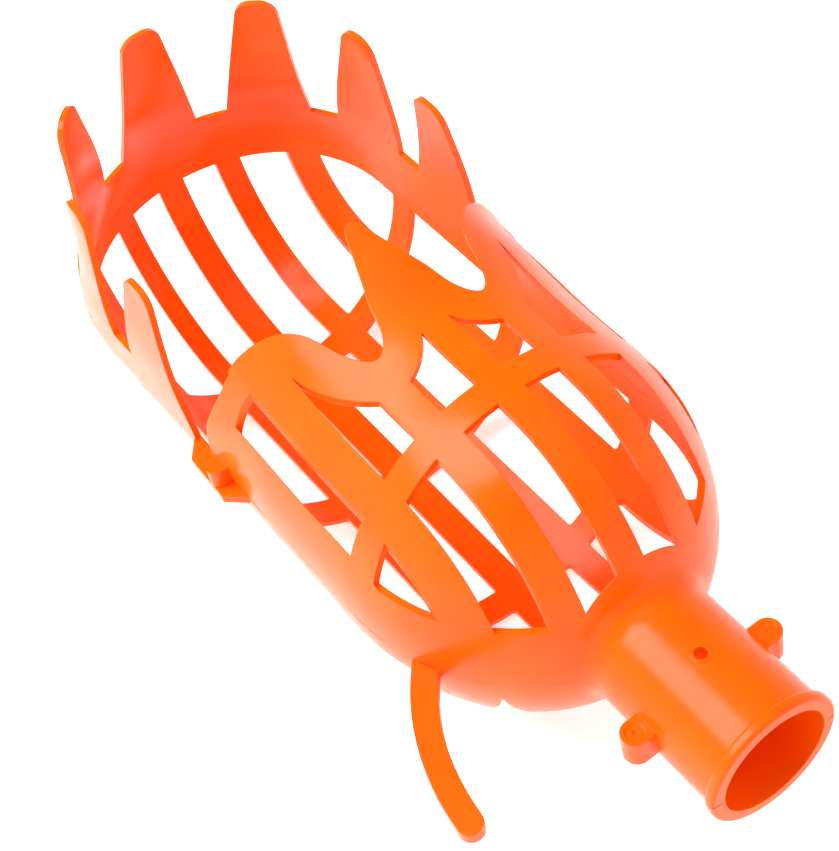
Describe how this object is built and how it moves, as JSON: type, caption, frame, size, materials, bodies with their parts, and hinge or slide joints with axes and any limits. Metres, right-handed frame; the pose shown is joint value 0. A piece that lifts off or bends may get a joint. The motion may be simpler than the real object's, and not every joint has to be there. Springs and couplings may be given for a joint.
{
  "type": "fruit picker basket",
  "caption": "Pole-mounted fruit picker head: a slotted scoop basket of two half shells with curved claws, a pole socket, a side hook and seam screws.",
  "frame": {"origin": "centre of the pole socket's mouth, on the bore's axis", "axes": "+X along the pole bore from the socket towards the claws, +Z out through the crown of the front shell, seam plane at z = 0, hook on the +Y side"},
  "size_m": [0.292, 0.128, 0.1221],
  "materials": {
    "body_plastic": "semi-gloss moulded orange",
    "screw_steel": "zinc plated"
  },
  "bodies": {
    "root": {"back_shell": "body_plastic", "front_shell": "body_plastic", "ear_screw_left": "screw_steel", "ear_screw_right": "screw_steel", "mouth_screw_left": "screw_steel", "mouth_screw_right": "screw_steel"}
  },
  "joints": []
}
